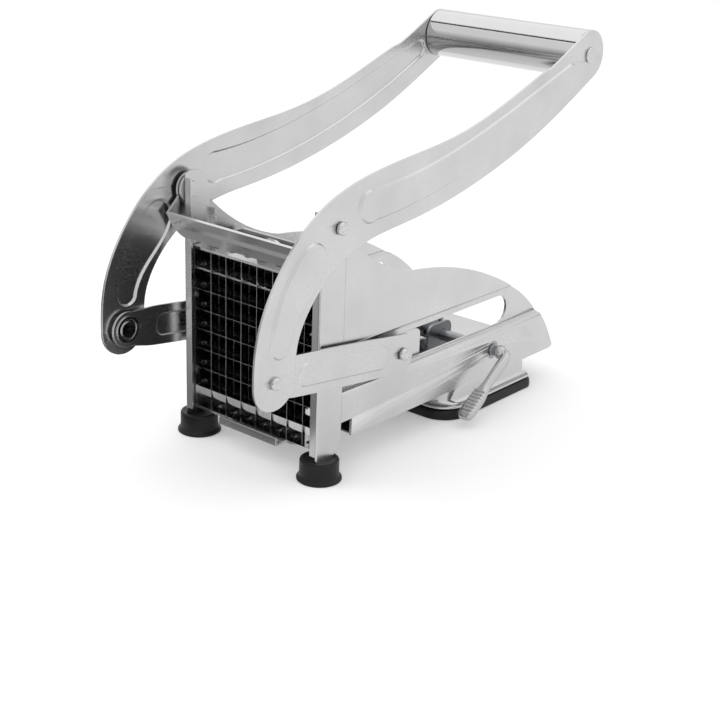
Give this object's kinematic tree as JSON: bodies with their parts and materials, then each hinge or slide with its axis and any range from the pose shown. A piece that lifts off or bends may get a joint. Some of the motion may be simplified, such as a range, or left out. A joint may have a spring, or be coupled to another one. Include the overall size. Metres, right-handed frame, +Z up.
{
  "type": "french fry cutter",
  "caption": "Lever-operated potato press in stainless sheet, with a crossed-blade cassette, a pegged pusher on slotted side plates and a suction base worked by a side lever.",
  "frame": {"origin": "centre of the suction pad's underside, on the table", "axes": "+Z up, -Y towards the cutting front, +X towards the side plate that carries the suction lever"},
  "size_m": [0.104, 0.2447, 0.1802],
  "materials": {
    "satin_stainless": "satin",
    "polished_stainless": "polished",
    "blade_steel": "polished",
    "black_rubber": "matte",
    "black_nylon": "satin",
    "dark_zinc": "semi-gloss"
  },
  "bodies": {
    "root": {"side_plate_right": "satin_stainless", "side_plate_left": "satin_stainless", "post_right": "satin_stainless", "post_left": "satin_stainless", "bottom_tray": "satin_stainless", "front_cross_bar": "satin_stainless", "foot_right": "black_rubber", "foot_left": "black_rubber", "cassette_frame": "satin_stainless", "upright_blades": "blade_steel", "level_blades": "blade_steel", "suction_pad": "black_rubber", "suction_housing": "satin_stainless", "shaft_bracket": "dark_zinc", "bracket_rivets": "polished_stainless", "shaft_bush": "black_nylon", "pivot_pins": "polished_stainless", "pivot_spacers": "polished_stainless"},
    "handle": {"lever_arm_right": "satin_stainless", "lever_arm_left": "satin_stainless", "grip_tube": "polished_stainless", "grip_tie_rod": "polished_stainless", "grip_plugs": "black_nylon", "arm_rivets": "polished_stainless", "arm_collars": "polished_stainless"},
    "retainer": {"retaining_bar": "satin_stainless"},
    "carriage": {"carriage_frame": "satin_stainless", "pusher_block": "black_nylon", "pusher_screws": "polished_stainless", "slider_blocks": "black_nylon", "slider_sleeves": "polished_stainless", "link_rivets": "polished_stainless"},
    "link_right_side": {"link_right": "satin_stainless", "link_eyelet_right": "polished_stainless"},
    "link_left_side": {"link_left": "satin_stainless", "link_eyelet_left": "polished_stainless"},
    "clamp_lever": {"suction_lever": "polished_stainless", "cam_shaft": "polished_stainless", "lift_cam": "polished_stainless", "shaft_clip": "polished_stainless"},
    "stem": {"cup_stem": "polished_stainless"}
  },
  "joints": [
    {"name": "handle_swing", "type": "hinge", "parent": "root", "child": "handle", "pos_m": [0, -0.1241, 0.1162], "axis": [1, 0, 0], "range_deg": [-11, 70]},
    {"name": "carriage_slide", "type": "slide", "parent": "root", "child": "carriage", "axis": [0, 1, 0], "range_m": [-0.01252, 0.07915]},
    {"name": "link_right_swing", "type": "hinge", "parent": "carriage", "child": "link_right_side", "pos_m": [0, -0.0755, 0.0476], "axis": [1, 0, 0], "range_deg": [-0.3, 1.5]},
    {"name": "link_left_swing", "type": "hinge", "parent": "carriage", "child": "link_left_side", "pos_m": [0, -0.0755, 0.0476], "axis": [1, 0, 0], "range_deg": [-0.3, 1.5]},
    {"name": "retainer_swing", "type": "hinge", "parent": "root", "child": "retainer", "pos_m": [0, -0.1241, 0.1162], "axis": [1, 0, 0], "range_deg": [-100, 0]},
    {"name": "suction_lever_swing", "type": "hinge", "parent": "root", "child": "clamp_lever", "pos_m": [0, 0, 0.0288], "axis": [1, 0, 0], "range_deg": [-95, 0]},
    {"name": "stem_lift", "type": "slide", "parent": "root", "child": "stem", "axis": [0, 0, 1], "range_m": [-0.0029, 0]}
  ],
  "couplings": [
    {"joint": "carriage_slide", "follows": "handle_swing", "m_per_rad": 0.0647},
    {"joint": "link_right_swing", "follows": "handle_swing", "ratio": 0.02},
    {"joint": "link_left_swing", "follows": "handle_swing", "ratio": 0.02},
    {"joint": "stem_lift", "follows": "suction_lever_swing", "m_per_rad": 0.001689}
  ]
}
